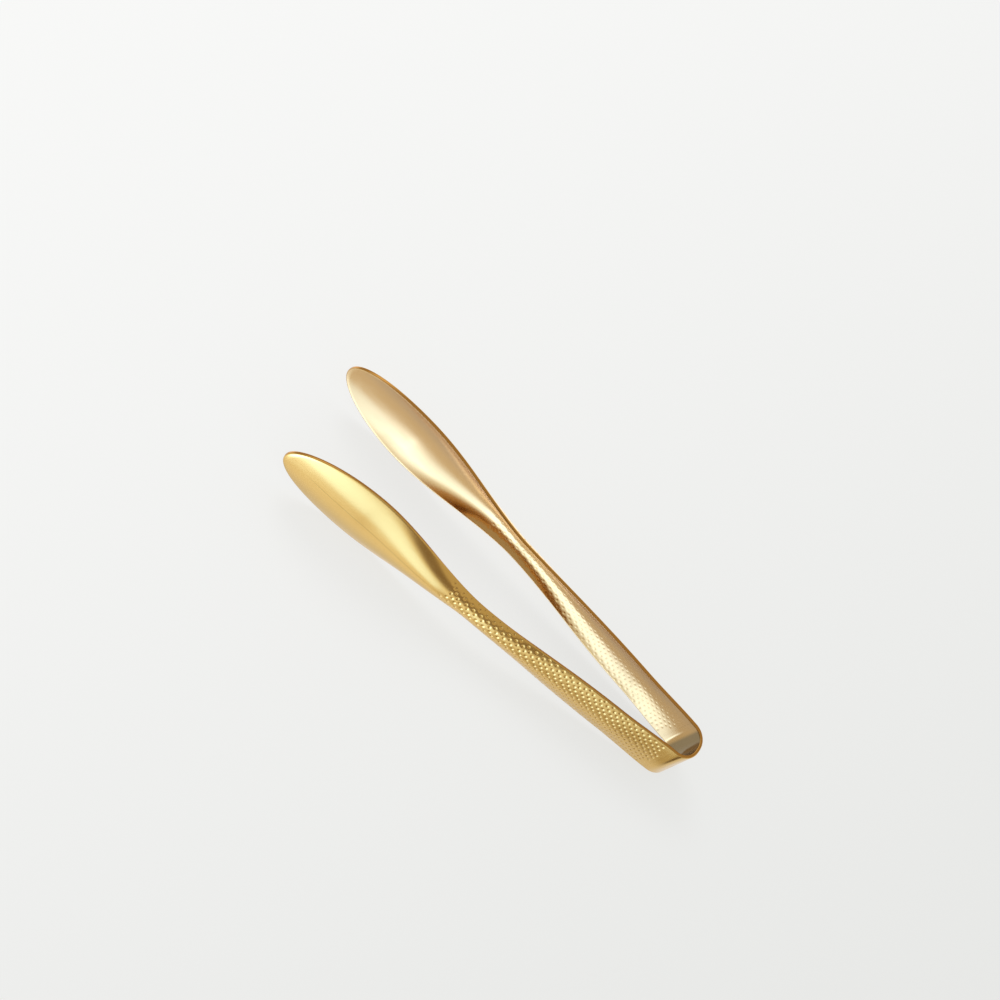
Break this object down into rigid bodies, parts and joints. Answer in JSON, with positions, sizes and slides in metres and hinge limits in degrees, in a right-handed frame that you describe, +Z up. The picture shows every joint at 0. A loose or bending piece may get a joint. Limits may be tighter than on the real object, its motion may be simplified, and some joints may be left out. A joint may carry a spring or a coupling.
{
  "type": "serving tongs",
  "caption": "One-hand serving tongs bent from gold-coloured sheet: a spring bow and mirrored dished arms whose long spoon bowls face each other.",
  "frame": {"origin": "bottom centre of the tongs' box, on the ground that they lie on", "axes": "+X towards the spring bow, the bowl tips at -X; +Y towards the right arm; +Z up, along the width of the sheet"},
  "size_m": [0.2094, 0.0528, 0.0365],
  "materials": {
    "bow_gold": "smooth polished gold-coloured metal",
    "arm_gold": "satin gold-coloured metal, smooth in the bowl and dimpled on the handle"
  },
  "bodies": {
    "bow": {"spring_bow": "bow_gold"},
    "left": {"left_arm": "arm_gold"},
    "right": {"right_arm": "arm_gold"}
  },
  "joints": [
    {"name": "left_arm_flex", "type": "hinge", "parent": "bow", "child": "left", "pos_m": [0.0951, -0.00865, 0.0122], "axis": [-0.0379, 0, -0.9993], "range_deg": [-3, 6.9], "stiffness_Nm_per_rad": 4},
    {"name": "right_arm_flex", "type": "hinge", "parent": "bow", "child": "right", "pos_m": [0.0951, 0.00865, 0.0122], "axis": [0.0379, 0, 0.9993], "range_deg": [-3, 6.9], "stiffness_Nm_per_rad": 4}
  ],
  "couplings": [
    {"joint": "right_arm_flex", "follows": "left_arm_flex", "ratio": 1}
  ]
}
